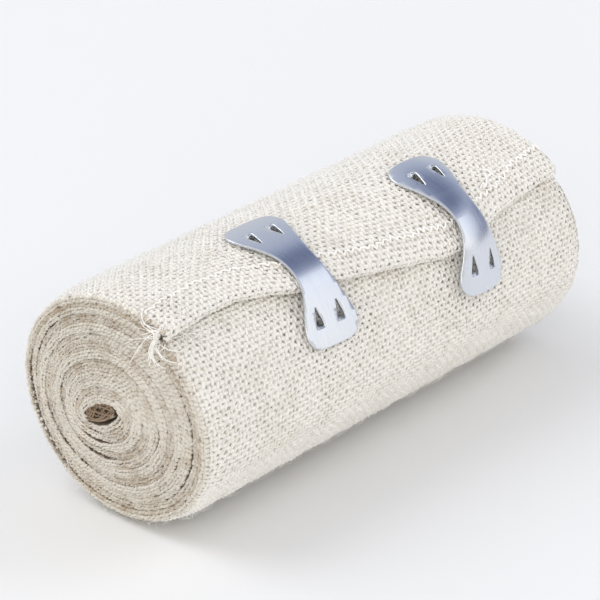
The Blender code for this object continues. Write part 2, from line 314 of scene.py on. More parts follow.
def cloth_point(x, turn, height):
    """A point over the outer turn's face; a turn below 0 goes round the hem's fold,
    and an x past the rim goes round the selvedge."""
    sway, drift, rise = crepe(x, turn)
    x = x + sway * np.clip((CLOTH_WIDTH / 2 - np.abs(x)) / (3 * MM), 0, 1)
    turn = turn + drift
    unfolded = np.maximum(turn, 0)
    inside_x = np.clip(x, -RIM_START, RIM_START)
    angle = loose_angle(inside_x, unfolded)
    height = height + rise - DENT_DEPTH * dent(x, angle, BARB_SPOTS, DENT_SPREAD)
    normal = outward(unfolded, angle)
    forward = np.stack([normal[..., 1], -normal[..., 0]], -1)
    half = (thickness(unfolded, angle) + hem_rise(inside_x, unfolded)) / 2
    fold = np.minimum(turn, 0) * TURN_LENGTH / half
    up = normal * np.cos(fold)[..., None] + forward * np.sin(fold)[..., None]
    face = inner_face(unfolded, angle) + (normal + up) * half[..., None]
    wrap = (np.abs(x) - np.abs(inside_x)) / RIM_RADIUS
    reach = RIM_RADIUS + height
    section = face + up * (reach * np.cos(wrap) - RIM_RADIUS)[..., None]
    placed = place_section(inside_x, section)
    placed[..., 0] += np.sign(x) * reach * np.sin(wrap)
    return placed


def outer_face(x, angle):
    """Outer face of the cloth at angles round the roll, from its axis, without the drawn-in rims."""
    turn = (angle - loose_angle(x, np.zeros_like(x))) / FULL_TURN
    under = turn < 0
    turn = np.where(under, turn + 1, turn)
    rise = np.where(under, 0, hem_rise(x, turn))
    return inner_face(turn, angle) + outward(turn, angle) * (thickness(turn, angle) + rise)[..., None]


def hanging_point(x, distance, height):
    """A point over the cloth by the loose edge, at a distance along the turn from it: one below 0
    lies on the turn beneath, and an x past the near rim droops out from the end face."""
    inside_x = np.maximum(x, -CLOTH_WIDTH / 2)
    over = inside_x - x
    edge = loose_angle(inside_x, np.zeros_like(x))
    angle = edge + distance / OUTER_HALF_WIDTH
    upper = outer_face(inside_x, np.maximum(angle, edge + 0.001))
    lower = outer_face(inside_x, np.minimum(angle, edge - 0.001))
    upper_reach = np.linalg.norm(upper, axis=-1)
    lower_reach = np.linalg.norm(lower, axis=-1)
    blend = np.clip(0.5 + distance / (1.2 * MM), 0, 1)
    reach = lower_reach + (upper_reach - lower_reach) * blend + height - 0.45 * over
    direction = np.where((angle < edge)[..., None],
                         lower / lower_reach[..., None], upper / upper_reach[..., None])
    placed = place_section(inside_x, direction * reach[..., None])
    placed[..., 0] -= 0.85 * over
    return placed


def taut_path(x_middle):
    """The line that a plate's middle takes over the cloth, bridging its hollows, at even steps."""
    angle = np.radians(np.arange(-20, 131))
    sides = [np.full(len(angle), x_middle + side * CLIP_REACH) for side in (-1, -0.5, 0, 0.5, 1)]
    faces = np.stack([outer_face(x, angle) for x in sides])
    highest = faces[np.linalg.norm(faces, axis=-1).argmax(0), np.arange(len(angle))]
    clearance = CLIP_CLEARANCE + CLIP_THICKNESS / 2
    hull = []
    for point in highest + clearance * np.stack([-np.cos(angle), np.sin(angle)], -1):
        while len(hull) > 1:
            before = hull[-1] - hull[-2]
            after = point - hull[-1]
            if before[0] * after[1] - before[1] * after[0] < 0:
                break
            hull.pop()
        hull.append(point)
    hull = np.array(hull)
    lengths = np.concatenate([[0], np.cumsum(np.linalg.norm(np.diff(hull, axis=0), axis=1))])
    steps = np.arange(0, lengths[-1], PATH_STEP)
    path = np.stack([np.interp(steps, lengths, hull[:, i]) for i in (0, 1)], -1)
    weights = np.hanning(2 * PATH_SMOOTHING + 1)
    weights /= weights.sum()
    inside = slice(PATH_SMOOTHING, -PATH_SMOOTHING)
    for i in (0, 1):
        path[inside, i] = np.convolve(path[:, i], weights, "valid")
    return path


def bend_clip(points, x_middle, angle_middle, slant):
    """Moves points of a flat clip, x across and y along, to its bent place on the roll."""
    path = taut_path(x_middle)
    middle = np.argmax(np.arctan2(path[:, 1], -path[:, 0]) >= angle_middle)
    direction = np.gradient(path, axis=0)
    direction /= np.linalg.norm(direction, axis=1, keepdims=True)
    along = points[:, 1] * math.cos(slant) - points[:, 0] * math.sin(slant)
    across = points[:, 0] * math.cos(slant) + points[:, 1] * math.sin(slant)
    place = middle + along / PATH_STEP
    keys = np.arange(len(path))
    base = np.stack([np.interp(place, keys, path[:, i]) for i in (0, 1)], -1)
    heading = np.stack([np.interp(place, keys, direction[:, i]) for i in (0, 1)], -1)
    bent = base + np.stack([-heading[:, 1], heading[:, 0]], -1) * points[:, 2:3]
    return np.stack([x_middle + across, bent[:, 0] + AXIS_Y, bent[:, 1] + AXIS_HEIGHT], -1)


def cut_caps(bm, sides, fold):
    """Cuts both caps of a cone across between its opposite sides."""
    for level in (-1, 1):
        rim = sorted((v for v in bm.verts if v.co.z * level > 0),
                     key=lambda v: math.atan2(v.co.y, v.co.x) % FULL_TURN)
        for i in range(sides):
            j = (fold - i) % sides
            apart = min(abs(i - j), sides - abs(i - j))
            if i < j and apart > 1:
                bmesh.ops.connect_verts(bm, verts=[rim[i], rim[j]])


def link_object(name, data):
    """A new object in the scene."""
    thing = bpy.data.objects.new(name, data)
    bpy.context.scene.collection.objects.link(thing)
    return thing


def take_mesh(holder):
    """An object's mesh with its modifiers or its curve worked out, in place of the object."""
    graph = bpy.context.evaluated_depsgraph_get()
    mesh = bpy.data.meshes.new_from_object(holder.evaluated_get(graph))
    bpy.data.objects.remove(holder)
    return mesh


def make_strands(name, count, rings, sides, fold=None):
    """A mesh of separate straight tubes, and for each of its points the strand, the ring along it
    and the angle round it. With a fold, the caps are cut from side i to side fold - i."""
    bm = bmesh.new()
    bmesh.ops.create_cone(bm, cap_ends=True, segments=sides, radius1=1, radius2=1, depth=rings - 1)
    if fold is not None:
        cut_caps(bm, sides, fold)
    long_edges = [e for e in bm.edges if abs(e.verts[0].co.z - e.verts[1].co.z) > 0.5]
    bmesh.ops.subdivide_edges(bm, edges=long_edges, cuts=rings - 2, use_grid_fill=True)
    single = bpy.data.meshes.new(name)
    bm.to_mesh(single)
    bm.free()
    holder = link_object(name, single)
    array = holder.modifiers.new("strands", "ARRAY")
    array.count = count
    array.use_relative_offset = False
    array.use_constant_offset = True
    array.constant_offset_displace = (STRANDS_APART, 0, 0)
    mesh = take_mesh(holder)
    bpy.data.meshes.remove(single)
    mesh.name = name
    points = np.empty(len(mesh.vertices) * 3, np.float32)
    mesh.vertices.foreach_get("co", points)
    points = points.reshape(-1, 3)
    strand = np.rint(points[:, 0] / STRANDS_APART)
    ring = np.rint(points[:, 2] + (rings - 1) / 2)
    around = np.arctan2(points[:, 1], points[:, 0] - STRANDS_APART * strand)
    return mesh, strand.astype(int), ring, around


def set_points(mesh, points):
    """Moves a mesh's points, none of them lower than just over the floor."""
    points = np.array(points)
    points[:, 2] = np.maximum(points[:, 2], LOWEST)
    mesh.vertices.foreach_set("co", np.ascontiguousarray(points, np.float32).ravel())
    mesh.update()


def set_tubes(mesh, strand, ring, around, paths, radius, reference):
    """Lays straight tubes along paths: paths by strand, ring and axis, radius by strand and ring."""
    tangent = np.gradient(paths, axis=1)
    tangent /= np.linalg.norm(tangent, axis=-1, keepdims=True)
    side = np.cross(reference, tangent)
    side /= np.linalg.norm(side, axis=-1, keepdims=True)
    up = np.cross(tangent, side)
    place = (strand, ring.astype(int))
    offset = np.cos(around)[:, None] * side[place] + np.sin(around)[:, None] * up[place]
    set_points(mesh, paths[place] + offset * radius[place][:, None])


def away_from_axis(paths):
    """Direction from the roll's axis outwards, for each point of some paths."""
    reference = paths - np.array([0, AXIS_Y, AXIS_HEIGHT])
    reference[..., 0] = 0
    return reference


def wander(strand, along, seed):
    """A slow random sway of each strand along its length, from -1 to 1."""
    random = np.random.default_rng(seed)
    count = strand.max() + 1
    phase = random.uniform(0, FULL_TURN, (2, count))
    pace = random.uniform(0.2, 0.9, (2, count))
    waves = np.sin(along * pace[:, strand] + phase[:, strand])
    return waves.mean(axis=0)


def unevenness(strand, ring, seed):
    """A random number for each ring of each strand, from -1 to 1."""
    random = np.random.default_rng(seed)
    table = random.uniform(-1, 1, (strand.max() + 1, int(ring.max()) + 1))
    return table[strand, ring.astype(int)]


def set_shade(mesh, values):
    """How light the yarn is at each point, which its material reads."""
    attribute = mesh.attributes.new("shade", "FLOAT", "POINT")
    attribute.data.foreach_set("value", np.ascontiguousarray(values, np.float32))


def add_piece(name, mesh, material, node="bandage"):
    """Links a finished mesh as a piece of the roll that stands for a solid."""
    mesh.shade_smooth()
    mesh.materials.append(material)
    piece = link_object(name, mesh)
    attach(piece, "root")
    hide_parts(node)
    return piece


def add_threads(name, paths, radius, sides, material, reference=None, shades=0.5):
    """Adds a piece made of separate threads: paths by thread, ring and axis, a shade for each."""
    count, rings = paths.shape[:2]
    mesh, strand, ring, around = make_strands(name, count, rings, sides)
    if reference is None:
        reference = away_from_axis(paths)
    radius = np.broadcast_to(radius, (count, rings))
    set_tubes(mesh, strand, ring, around, paths, radius, reference)
    set_shade(mesh, np.broadcast_to(shades, count)[strand])
    add_piece(name, mesh, material)


def add_node(tree, kind, settings=None, links=None):
    """Adds a node, sets its properties and sockets by name, and links its inputs."""
    node = tree.nodes.new(kind)
    for key, value in (settings or {}).items():
        if isinstance(key, int) or key in node.inputs.keys():
            node.inputs[key].default_value = value
        else:
            setattr(node, key, value)
    for key, source in (links or {}).items():
        tree.links.new(source, node.inputs[key])
    return node


def add_noise(tree, scale, detail, vector):
    """A noise texture's output."""
    node = add_node(tree, "ShaderNodeTexNoise", {"Scale": scale, "Detail": detail}, {"Vector": vector})
    return node.outputs["Fac"]


def add_bump(tree, shader, strength, distance, height):
    """Bumps a shader's surface."""
    settings = {"Strength": strength, "Distance": distance}
    bump = add_node(tree, "ShaderNodeBump", settings, {"Height": height})
    tree.links.new(bump.outputs["Normal"], shader.inputs["Normal"])


def new_material(name, settings):
    """A new material with its shader's sockets set by name, its node tree and its shader."""
    material = bpy.data.materials.new(name)
    material.use_nodes = True
    shader = material.node_tree.nodes["Principled BSDF"]
    for key, value in settings.items():
        shader.inputs[key].default_value = value
    return material, material.node_tree, shader


def yarn_material(name, light, dark, fuzz_depth):
    """Unbleached cotton yarn, spun and twisted: matt, with fine fibres across it."""
    material, tree, shader = new_material(name, {
        "Roughness": 0.9, "Sheen Weight": 0.25, "Sheen Roughness": 0.6, "Specular IOR Level": 0.25})
    place = add_node(tree, "ShaderNodeTexCoord")
    strand = add_node(tree, "ShaderNodeAttribute", {"attribute_name": "shade"})
    patches = add_noise(tree, 160, 4, place.outputs["Object"])
    mixed = add_node(tree, "ShaderNodeMath", {"operation": "ADD"}, {0: strand.outputs["Fac"], 1: patches})
    ramp = add_node(tree, "ShaderNodeValToRGB", None, {"Fac": mixed.outputs[0]})
    ramp.color_ramp.elements[0].position = 0.35
    ramp.color_ramp.elements[0].color = (*dark, 1)
    ramp.color_ramp.elements[1].position = 1.1
    ramp.color_ramp.elements[1].color = (*light, 1)
    tree.links.new(ramp.outputs["Color"], shader.inputs["Base Color"])
    add_bump(tree, shader, 0.6, fuzz_depth, add_noise(tree, 2600, 3, place.outputs["Object"]))
    return material


def aluminium_material():
    """Thin rolled aluminium: bright, with faint rolling lines along the clip and a dulled grain."""
    material, tree, shader = new_material("rolled aluminium", {
        "Base Color": (*linear("#DDE1E8"), 1), "Metallic": 1.0})
    place = add_node(tree, "ShaderNodeTexCoord")
    stretch = add_node(tree, "ShaderNodeMapping", {"Scale": (2500, 150, 150)},
                       {"Vector": place.outputs["Object"]})
    lines = add_noise(tree, 1.0, 3, stretch.outputs["Vector"])
    rough = add_node(tree, "ShaderNodeMapRange", {"To Min": 0.2, "To Max": 0.32}, {"Value": lines})
    tree.links.new(rough.outputs["Result"], shader.inputs["Roughness"])
    add_bump(tree, shader, 0.06, 0.05 * MM, lines)
    return material


BARB_SPOTS = barb_spots()


class BandageSizes(bpy.types.PropertyGroup):
    yarn_width: FloatProperty(
        name="Yarn width", description="Half width of a warp yarn", default=0.41 * MM, unit="LENGTH")
    yarn_height: FloatProperty(
        name="Yarn height", description="Half height of a yarn", default=0.23 * MM, unit="LENGTH")
    weft_width: FloatProperty(
        name="Weft width", description="Half width of a weft yarn", default=0.4 * MM, unit="LENGTH")
    loop_pitch: FloatProperty(
        name="Loop pitch", description="Distance between selvedge loops", default=0.8 * MM, unit="LENGTH")
    clip_thickness: FloatProperty(
        name="Clip thickness", description="Thickness of the clips' sheet", default=0.5 * MM, unit="LENGTH")
    fibres: IntProperty(
        name="Fibres", description="How many loose fibres stand off the cloth", default=5000, min=0)
    end_fibres: IntProperty(
        name="End fibres", description="How many loose fibres lie on the two ends", default=1500, min=0)


class BandageColours(bpy.types.PropertyGroup):
    cotton: FloatVectorProperty(
        name="Cotton", description="Unbleached cotton in the light", subtype="COLOR",
        default=linear("#F2EFE9"))
    cotton_deep: FloatVectorProperty(
        name="Deep cotton", description="Cotton down between the yarns", subtype="COLOR",
        default=linear("#E2DCD2"))
    selvedge: FloatVectorProperty(
        name="Selvedge", description="Cotton of the selvedges in the light", subtype="COLOR",
        default=linear("#E3DDD2"))
    # The dark end of the selvedge loops' ramp: their random tone, and the painted shade of recessed loops and
    # gap rows.
    selvedge_deep: FloatVectorProperty(
        name="Deep selvedge", description="Cotton down between the selvedge loops", subtype="COLOR",
        default=linear("#B5A38C"))
    thread: FloatVectorProperty(
        name="Thread", description="Bleached sewing thread", subtype="COLOR", default=linear("#FDFBF7"))


class BANDAGE_OT_wound_cloth(bpy.types.Operator):
    """The wound strip under the yarns: one closed sheet from the loose end to the eye"""
    bl_idname = "bandage.wound_cloth"
    bl_label = "Wound cloth"

    def execute(self, context):
        columns = np.concatenate([np.array((-48.9, -48)), np.arange(-46, 47, 4.0), np.array((48, 48.9))]) * MM
        rim_x = np.array((49.25, 49.45, 49.25)) * MM
        rim_h = np.array((0.9, 0.5, 0.1))
        profile_x = np.concatenate([columns, rim_x, columns[::-1], -rim_x])
        ones = np.ones(len(columns))
        profile_h = np.concatenate([ones, rim_h, 0 * ones, rim_h[::-1]])
        rings = int(TURNS * STEPS_PER_TURN) + 1
        mesh, _, ring, around = make_strands("wound_cloth", 1, rings, len(profile_x), 2 * len(columns) + 2)
        side = np.rint(around / FULL_TURN * len(profile_x)).astype(int) % len(profile_x)
        turn = ring / STEPS_PER_TURN
        x = profile_x[side]
        angle = loose_angle(x, turn)
        thick = thickness(turn, angle) + hem_rise(x, turn)
        outer = turn < LAST_OUTER_TURN
        under_yarns = np.where(outer, GROUND_DEPTH, 0.05 * MM)
        under_yarns += np.where(outer, DENT_DEPTH * dent(x, angle, BARB_SPOTS, BASE_DENT_SPREAD), 0)
        height = profile_h[side] * (thick - under_yarns)
        section = inner_face(turn, angle) + outward(turn, angle) * height[:, None]
        set_points(mesh, place_section(x, section))
        # Painted shade: the turns under the outer one, seen on the ends only down the gaps between turns,
        # take the dark brown end of the ramp. The outer turn's ground under the yarns stays light.
        set_shade(mesh, np.where(outer, 0.45, -0.3))
        material = yarn_material("cotton ground", linear("#DCD5CA"), linear("#A78F73"), 0.0002)
        piece = add_piece("wound_cloth", mesh, material)
        return {"FINISHED"}


def end_place(end):
    """Where a warp yarn lies across the cloth, by its number from the near selvedge."""
    return (end - (ENDS - 1) / 2) * CLOTH_WIDTH / ENDS * WOVEN_SHARE


def strand_shade(strand, seed):
    """A random shade for each strand."""
    random = np.random.default_rng(seed)
    return random.uniform(0.25, 0.6, strand.max() + 1)[strand]


def hem_paleness(turn):
    """The hem's own cloth looks paler, with its bleached thread and raised fibres."""
    return 0.25 * np.clip(1 - np.abs(turn - 0.012) / 0.022, 0, 1)


class BANDAGE_OT_warp(bpy.types.Operator):
    """The warp yarns, which run round the roll, in two halves of its width"""
    bl_idname = "bandage.warp"
    bl_label = "Warp yarns"

    def execute(self, context):
        sizes = context.scene.bandage_sizes
        colours = context.scene.bandage_colours
        material = yarn_material("cotton warp", colours.cotton, colours.cotton_deep, 0.0001)
        half = ENDS // 2
        first_pick = round(-HEM_TUCK / TURN_LENGTH * PICKS)
        last_pick = round(LAST_OUTER_TURN * PICKS)
        rings = 2 * (last_pick - first_pick) + 1
        for name, offset in (("warp_near", 0), ("warp_far", half)):
            mesh, strand, ring, around = make_strands(name, half, rings, 4)
            end = strand + offset
            pick = first_pick + ring / 2
            lift = np.cos(np.pi * (pick + end))
            uneven = [unevenness(strand, ring, 91 + offset + i) for i in range(3)]
            slub = 1 + 0.14 * wander(strand, pick, 51 + offset) + 0.14 * uneven[0]
            width = sizes.yarn_width * (1 + 0.12 * lift) * slub
            middle = end_place(end)
            middle += YARN_SLANT * np.sin(np.pi * (pick + end))
            middle += 0.09 * MM * (wander(strand, pick, 61 + offset) + uneven[1])
            height = -YARN_LAYER / 2 + YARN_WAVE * lift + sizes.yarn_height * slub * np.sin(around)
            height += 0.04 * MM * uneven[2]
            turn = pick / PICKS
            set_points(mesh, cloth_point(middle - width * np.cos(around), turn, height))
            set_shade(mesh, strand_shade(strand, 11 + offset) + 0.1 * uneven[0] + hem_paleness(turn))
            add_piece(name, mesh, material)
        return {"FINISHED"}


class BANDAGE_OT_weft(bpy.types.Operator):
    """The weft yarns, which run along the roll and turn round its selvedges, in two halves"""
    bl_idname = "bandage.weft"
    bl_label = "Weft yarns"

    def execute(self, context):
        sizes = context.scene.bandage_sizes
        colours = context.scene.bandage_colours
        material = yarn_material("cotton weft", colours.cotton, colours.cotton_deep, 0.0001)
        half = (PICKS + 8) // 2
        margin = 2
        rings = 2 * (ENDS - 1 + 2 * margin) + 1
        for name, offset in (("weft_top", -2), ("weft_under", half - 2)):
            mesh, strand, ring, around = make_strands(name, half, rings, 4)
            end = ring / 2 - margin
            pick = strand + offset
            lift = -np.cos(np.pi * (pick + end))
            uneven = [unevenness(strand, ring, 191 + offset + i) for i in range(2)]
            slub = 1 + 0.14 * wander(strand, end, 71 + offset) + 0.14 * uneven[0]
            width = sizes.weft_width * (1 + 0.1 * lift) * slub
            x = end_place(end)
            height = -YARN_LAYER / 2 + YARN_WAVE * lift + sizes.yarn_height * slub * np.sin(around)
            aside = width * np.cos(around) + 0.12 * MM * wander(strand, end, 81 + offset)
            aside += 0.08 * MM * uneven[1]
            turn = pick / PICKS + aside / TURN_LENGTH
            set_points(mesh, cloth_point(x, turn, height))
            set_shade(mesh, strand_shade(strand, 31 + offset) + 0.1 * uneven[0] + hem_paleness(turn))
            add_piece(name, mesh, material)
        return {"FINISHED"}


def spiral_lengths():
    """Length along the wound cloth for a list of turns, at its inner face."""
    turns = np.linspace(0, TURNS, 4000)
    path = wound(turns, LOOSE_EDGE_MEAN + turns * FULL_TURN)
    return turns, np.concatenate([[0], np.cumsum(np.linalg.norm(np.diff(path, axis=0), axis=1))])


class BANDAGE_OT_selvedges(bpy.types.Operator):
    """The weft loops along both selvedges, seen end-on as dotted rows on each turn"""
    bl_idname = "bandage.selvedges"
    bl_label = "Selvedge loops"

    def execute(self, context):
        sizes = context.scene.bandage_sizes
        colours = context.scene.bandage_colours
        material = yarn_material("cotton selvedge", colours.selvedge, colours.selvedge_deep, 0.0001)
        turns, lengths = spiral_lengths()
        steps = 5  # a loop
        loops = int(lengths[-1] / sizes.loop_pitch)
        rings = loops * steps + 1
        rows = len(SELVEDGE_ROWS)
        for name, side, seed in (("selvedge_near", -1, 5), ("selvedge_far", 1, 6)):
            random = np.random.default_rng(seed)
            mesh, strand, ring, around = make_strands(name, rows, rings, 3)
            phase = np.arange(rings) / steps
            loop = phase.astype(int)
            paths = np.empty((rows, rings, 3))
            radius = np.empty((rows, rings))
            for row, (share, level, _) in enumerate(SELVEDGE_ROWS):
                jitter = random.uniform(-1, 1, (4, loops + 2))
                jitter = jitter[:, loop] * (1 - phase % 1) + jitter[:, loop + 1] * (phase % 1)
                turn = np.interp((phase + 0.35 * jitter[0]) * sizes.loop_pitch, lengths, turns)
                x = np.full(rings, side * CLOTH_WIDTH / 2)
                angle = loose_angle(x, turn)
                thick = thickness(turn, angle) + hem_rise(x, turn)
                swing = phase * FULL_TURN + row * 2.1
                # The two outer turns' loops lean into the wide gap between them, and are painted darker there
                # as the gap's shade.
                towards_gap = 0.1 * (turn > 1) * (turn < 2) - 0.13 * (turn < 1)
                height = thick * (share + towards_gap + 0.08 * jitter[1] + 0.06 * np.cos(swing))
                section = inner_face(turn, angle) + outward(turn, angle) * height[:, None]
                paths[row] = place_section(x, section)
                stands_out = level + 0.15 * np.sin(swing) + 0.14 * jitter[2]
                stands_out += 0.25 * np.sin(turn * 0.37 * FULL_TURN) + 0.14 * np.sin(angle * 3 + turn)
                paths[row, :, 0] += side * stands_out * MM
                radius[row] = 0.29 * thick * (1 + 0.2 * jitter[3])
            set_tubes(mesh, strand, ring, around, paths, radius, np.array([side, 0, 0]))
            shade = random.uniform(0.3, 0.6, loops + 2)
            turn = np.interp(ring / steps * sizes.loop_pitch, lengths, turns)
            # Painted shade: darker on turns that stand recessed, on the gap row of the inner turns and along
            # the wide gap between the two outer turns; also darker towards the loose end.
            darker = 0.3 * np.clip(1 - turn / 0.06, 0, 1) - 0.16 * np.sin(turn * 0.37 * FULL_TURN)
            darker += np.array([row[2] for row in SELVEDGE_ROWS])[strand] * (turn > 1)
            darker += 0.4 * (strand == 0) * (turn < 1) + 0.3 * (strand == rows - 1) * (turn > 1) * (turn < 2)
            set_shade(mesh, shade[(ring / steps).astype(int)] - darker)
            add_piece(name, mesh, material)
        return {"FINISHED"}


def rounded(points, rounds=2):
    """A closed outline with its corners cut off, again and again."""
    points = np.array(points)
    for _ in range(rounds):
        ahead = np.roll(points, -1, axis=0)
        points = np.stack([points * 0.75 + ahead * 0.25, points * 0.25 + ahead * 0.75], 1).reshape(-1, 2)
    return points


def clip_rim():
    """The closed outline of a flat clip: four mirrored quarters of CLIP_OUTLINE."""
    quarter = [(width * MM, along * MM) for along, width in CLIP_OUTLINE]
    left_up = [(-w, a) for w, a in reversed(quarter)]
    left_down = [(-w, -a) for w, a in quarter[1:]]
    right_down = [(w, -a) for w, a in reversed(quarter[1:])]
    return rounded(quarter + left_up + left_down + right_down)


def hole_outline(side, end):
    """One triangular hole with soft corners, its base towards the clip's end."""
    middle = side * HOLE_FROM_MIDDLE
    corners = [(middle - HOLE_HALF_WIDTH, end * HOLE_BASE), (middle + HOLE_HALF_WIDTH, end * HOLE_BASE),
               (middle, end * (HOLE_BASE - HOLE_LENGTH))]
    points = []
    for (x0, y0), (x1, y1) in zip(corners, corners[1:] + corners[:1]):
        points += [(x0 + (x1 - x0) * t, y0 + (y1 - y0) * t) for t in (0.12, 0.5, 0.88)]
    return rounded(points, 1)


def flat_clip(thickness, rounding):
    """A flat clip with its four holes and rounded edges, as a bmesh cut finely enough to bend."""
    curve = bpy.data.curves.new("clip", "CURVE")
    curve.dimensions = "2D"
    curve.fill_mode = "BOTH"
    curve.extrude = thickness / 2 - rounding
    curve.bevel_depth = rounding
    curve.bevel_resolution = 1
    curve.offset = -rounding
    for outline in [clip_rim()] + [hole_outline(side, end) for side, end in BARB_PLACES]:
        spline = curve.splines.new("POLY")
        spline.points.add(len(outline) - 1)
        for point, (x, y) in zip(spline.points, outline):
            point.co = (x, y, 0, 1)
        spline.use_cyclic_u = True
    mesh = take_mesh(link_object("clip", curve))
    bm = bmesh.new()
    bm.from_mesh(mesh)
    bmesh.ops.remove_doubles(bm, verts=bm.verts, dist=0.005 * MM)
    cuts = [((0, y * MM, 0), (0, 1, 0)) for y in np.arange(-15.8, 16, 0.4)]
    cuts += [((x * MM, 0, 0), (1, 0, 0)) for x in np.arange(-6, 6.5, 1)]
    for place, normal in cuts:
        geometry = [*bm.verts, *bm.edges, *bm.faces]
        bmesh.ops.bisect_plane(bm, geom=geometry, plane_co=place, plane_no=normal, dist=0.0005 * MM)
    return bm


def add_barb(bm, side, end, thickness):
    """A barb: a tapering tongue that curves down from its hole's base into the cloth."""
    barb = bmesh.new()
    bmesh.ops.create_cube(barb, size=1.0)
    long_edges = [e for e in barb.edges if abs(e.verts[0].co.y - e.verts[1].co.y) > 0.5]
    bmesh.ops.subdivide_edges(barb, edges=long_edges, cuts=9, use_grid_fill=True)
    for vert in barb.verts:
        along = vert.co.y + 0.5
        half_width = (1.1 - 0.85 * along ** 1.3) * MM
        bend = min(along / BARB_BENT_SHARE, 1) * BARB_ANGLE
        straight = max(along - BARB_BENT_SHARE, 0) / (1 - BARB_BENT_SHARE) * (BARB_DEPTH - BARB_BEND)
        inward = BARB_BEND * math.sin(bend) + straight * math.cos(BARB_ANGLE) - 0.3 * MM * (1 - along)
        down = BARB_BEND * (1 - math.cos(bend)) + straight
        lift = vert.co.z * thickness * (1 - 0.4 * along)
        inward += lift * math.sin(bend)
        down -= lift * math.cos(bend)
        x = side * HOLE_FROM_MIDDLE + 2 * vert.co.x * half_width
        vert.co = (x, end * (HOLE_BASE - inward), -down)
    mesh = bpy.data.meshes.new("barb")
    barb.to_mesh(mesh)
    barb.free()
    bm.from_mesh(mesh)
    bpy.data.meshes.remove(mesh)


class BANDAGE_OT_clips(bpy.types.Operator):
    """The two clips: bent plates with barbs pressed down out of their holes"""
    bl_idname = "bandage.clips"
    bl_label = "Clips"

    def execute(self, context):
        sizes = context.scene.bandage_sizes
        material = aluminium_material()
        for name, solid, x_middle, angle, slant, crown, fall in CLIPS:
            bm = flat_clip(sizes.clip_thickness, EDGE_ROUNDING)
            for side, end in BARB_PLACES:
                add_barb(bm, side, end, BARB_THICKNESS)
            bmesh.ops.recalc_face_normals(bm, faces=bm.faces)
            points = np.array([vert.co for vert in bm.verts])
            points[:, 2] += crown * MM * (0.6 - (points[:, 0] / (6 * MM)) ** 2)
            points[:, 2] += fall * (4 * MM - points[:, 0]) * np.clip(0.8 - points[:, 1] / (6 * MM), 0, 1)
            moved = bend_clip(points, x_middle * MM, math.radians(angle), math.radians(slant))
            for vert, place in zip(bm.verts, moved):
                vert.co = place
            bmesh.ops.recalc_face_normals(bm, faces=bm.faces)
            mesh = bpy.data.meshes.new(name)
            bm.to_mesh(mesh)
            bm.free()
            add_piece(name, mesh, material, solid)
        return {"FINISHED"}


class BANDAGE_OT_hem_stitching(bpy.types.Operator):
    """The zigzag seam that holds the hem down"""
    bl_idname = "bandage.hem_stitching"
    bl_label = "Hem stitching"

    def execute(self, context):
        colours = context.scene.bandage_colours
        material = yarn_material("sewing thread", colours.thread, colours.cotton, 0.00005)
        steps = 6  # a stitch
        rings = STITCHES * steps + 1
        random = np.random.default_rng(9)
        phase = np.arange(rings) / steps
        corner = np.arange(STITCHES + 2)
        swing = np.where(corner % 2, 1, -1) * 0.45 + random.uniform(-0.3, 0.3, len(corner))
        stray = random.uniform(-0.18, 0.18, len(corner))
        x = (-SEAM_LENGTH / 2 + phase * SEAM_LENGTH / STITCHES + np.interp(phase, corner, stray)) * MM
        distance = table_value(SEAM_LINE, x / MM) + np.interp(phase, corner, swing)
        turn = distance * MM / TURN_LENGTH
        sunk = np.interp(phase, corner, random.uniform(-0.04, 0.16, len(corner)))
        height = (sunk + 0.3 * np.sin(np.pi * (phase % 1))) * MM
        paths = cloth_point(x, turn, height)[None]
        add_threads("hem_stitching", paths, 0.2 * MM, 5, material)
        return {"FINISHED"}


class BANDAGE_OT_loose_threads(bpy.types.Operator):
    """The frayed threads at the hem's near corner and the curly thread tail by the far clip"""
    bl_idname = "bandage.loose_threads"
    bl_label = "Loose threads"

    def execute(self, context):
        colours = context.scene.bandage_colours
        material = yarn_material("frayed thread", colours.thread, colours.cotton, 0.00005)
        random = np.random.default_rng(21)
        count = sum(group[0] for group in FRAY_GROUPS)
        rings = 24
        t = np.linspace(0, 1, rings)
        paths = np.empty((count, rings, 3))
        radius = np.empty((count, rings))
        ways = [group[1:] for group in FRAY_GROUPS for _ in range(group[0])]
        for i, (x_span, distance_span, way, spread, length_span) in enumerate(ways):
            heading = math.radians(way) + random.uniform(-1, 1) * math.radians(spread)
            length = random.uniform(*length_span)
            curl = random.uniform(-1.5, 1.5)
            x = random.uniform(*x_span) + length * np.cos(heading + curl * t) * t
            distance = random.uniform(*distance_span) + length * np.sin(heading + curl * t) * t
            rise = 0.15 + random.uniform(0.1, 0.7) * np.sin(np.pi * t) + 0.1 * np.sin(9 * t + i)
            paths[i] = hanging_point(x * MM, distance * MM, rise * MM)
            radius[i] = random.uniform(0.08, 0.17) * MM * (1 - 0.5 * t)
        add_threads("loose_threads", paths, radius, 4, material)

        rings = 60
        t = np.linspace(0, 1, rings)
        x = 29.0 + 5.4 * t + 0.45 * np.sin(t * 19)
        s = 3.6 + 2.4 * t + 0.6 * np.sin(t * 15 + 0.8)
        rise = 0.25 + 0.9 * np.sin(np.pi * t) + 0.2 * np.sin(t * 17)
        paths = cloth_point(x * MM, s * MM / TURN_LENGTH, rise * MM)[None]
        add_threads("thread_tail", paths, 0.16 * MM, 5, material)
        return {"FINISHED"}


